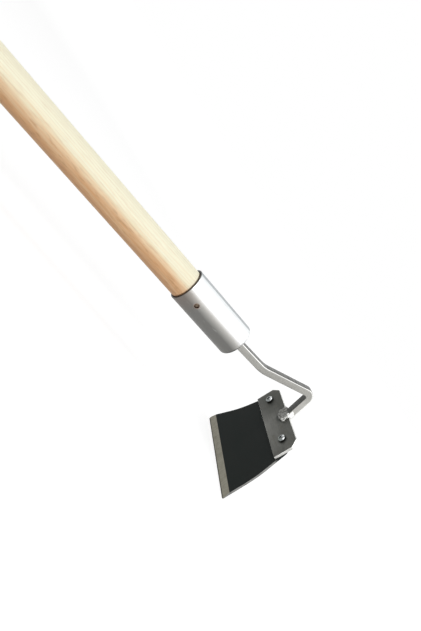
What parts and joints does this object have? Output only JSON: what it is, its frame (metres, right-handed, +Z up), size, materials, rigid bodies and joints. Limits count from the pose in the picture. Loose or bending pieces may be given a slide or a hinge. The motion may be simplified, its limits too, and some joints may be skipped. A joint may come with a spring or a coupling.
{
  "type": "garden hoe",
  "caption": "Long handled garden hoe with a round wooden handle, a steel ferrule, a bent square-bar neck and a flared, slightly curved blade screwed to a welded bracket plate.",
  "frame": {"origin": "on the floor, below the middle of the tool's length, with the hoe lying on its cutting edge and on the butt of its handle", "axes": "+X along the handle from butt to head, +Y across the blade's width away from the side with the nail, +Z up from the floor"},
  "size_m": [1.5266, 0.132, 0.1241],
  "materials": {
    "ash_wood": "pale ash, straight fine grain, thin satin lacquer",
    "satin_steel": "satin steel tube, fine brushing round it",
    "bar_steel": "ground steel bar, fine marks across it",
    "plate_steel": "dark satin steel plate with bright sheared edges",
    "weld_steel": "uneven weld bead",
    "blade_steel": "matt black coating, bare ground bevel at the cutting edge",
    "zinc_fastener": "bright zinc plating",
    "nail_steel": "brownish steel nail head",
    "nylon": "natural nylon"
  },
  "bodies": {
    "root": {"handle": "ash_wood", "ferrule": "satin_steel", "ferrule_nail": "nail_steel", "ferrule_weld": "weld_steel", "neck_bar": "bar_steel", "bracket_plate": "plate_steel", "bracket_weld": "weld_steel", "blade": "blade_steel", "blade_screw_near": "zinc_fastener", "blade_screw_far": "zinc_fastener", "washer_near": "zinc_fastener", "washer_far": "zinc_fastener", "lock_nut_near": "zinc_fastener", "lock_nut_far": "zinc_fastener", "nut_insert_near": "nylon", "nut_insert_far": "nylon"}
  },
  "joints": []
}
